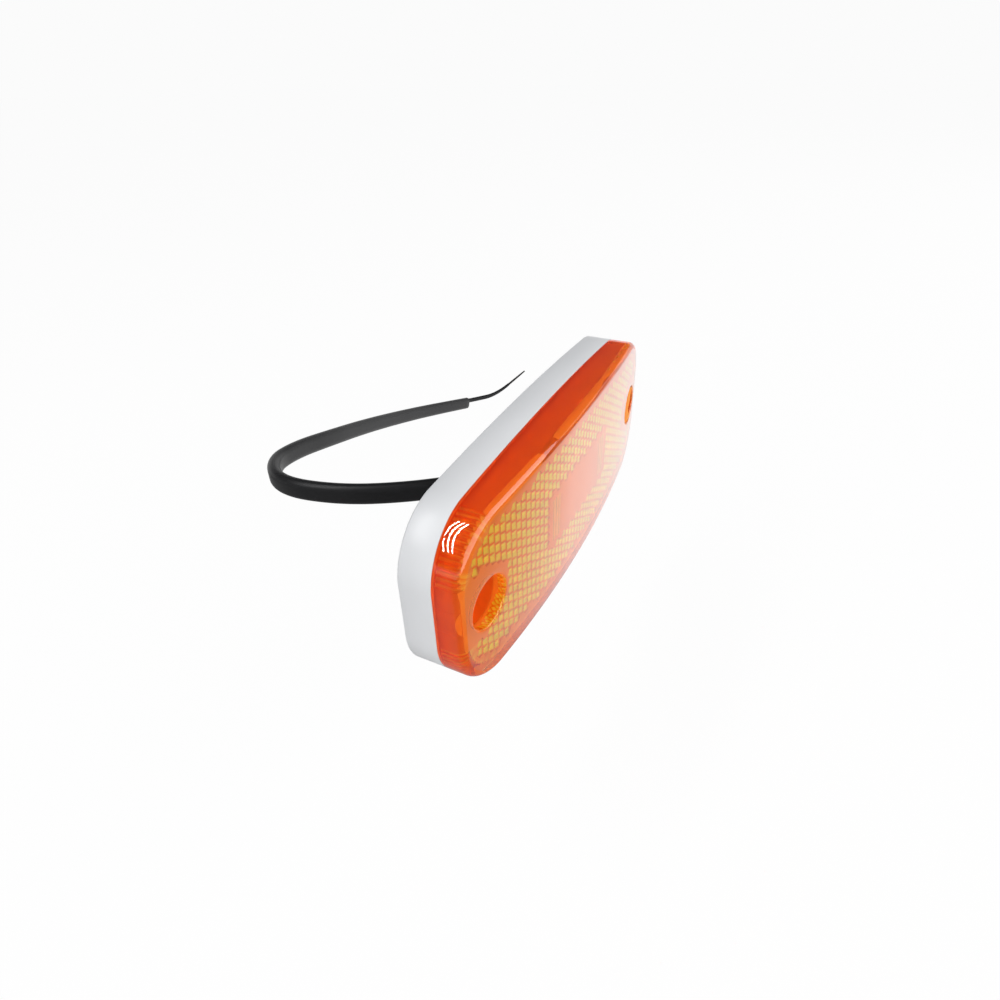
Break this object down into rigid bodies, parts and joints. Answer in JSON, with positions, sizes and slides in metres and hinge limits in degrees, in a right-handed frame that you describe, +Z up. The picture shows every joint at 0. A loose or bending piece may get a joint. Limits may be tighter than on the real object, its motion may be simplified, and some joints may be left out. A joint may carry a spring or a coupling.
{
  "type": "marker lamp",
  "caption": "Amber side marker lamp: crowned reflex lens with a screw well at each end, light grey tray housing, flat black cable out of the back.",
  "frame": {"origin": "middle of the rear mounting face, between the two screw holes", "axes": "+X along the lamp, +Y out of the rear face towards what it is screwed to, +Z up; the lens faces -Y"},
  "size_m": [0.2208, 0.1046, 0.0801],
  "materials": {
    "amber_lens": "clear amber moulding, polished outside",
    "housing_plastic": "smooth light grey moulding",
    "grommet_rubber": "black rubber",
    "board": "white solder mask",
    "light_chip": "white body with a pale yellow emitter",
    "chip_resistor": "black film with tinned ends",
    "chip_capacitor": "tan ceramic with tinned ends",
    "diode_body": "black moulding",
    "core_insulation": "black insulation",
    "copper": "bare copper strands",
    "bare_strands": "dark tinned strands",
    "solder": "bright solder",
    "cable_sheath": "black satin sheath"
  },
  "bodies": {
    "root": {"lens": "amber_lens", "housing": "housing_plastic", "grommet": "grommet_rubber", "circuit_board": "board", "resistor_1": "chip_resistor", "resistor_2": "chip_resistor", "diode": "diode_body", "capacitor": "chip_capacitor", "lead_upper": "core_insulation", "lead_lower": "core_insulation", "conductor_upper": "copper", "conductor_lower": "copper", "solder_upper": "solder", "solder_lower": "solder", "cable_sheath": "cable_sheath", "core": "core_insulation", "bare_end": "bare_strands", "led_1": "light_chip", "led_2": "light_chip", "led_3": "light_chip", "led_4": "light_chip"}
  },
  "joints": []
}
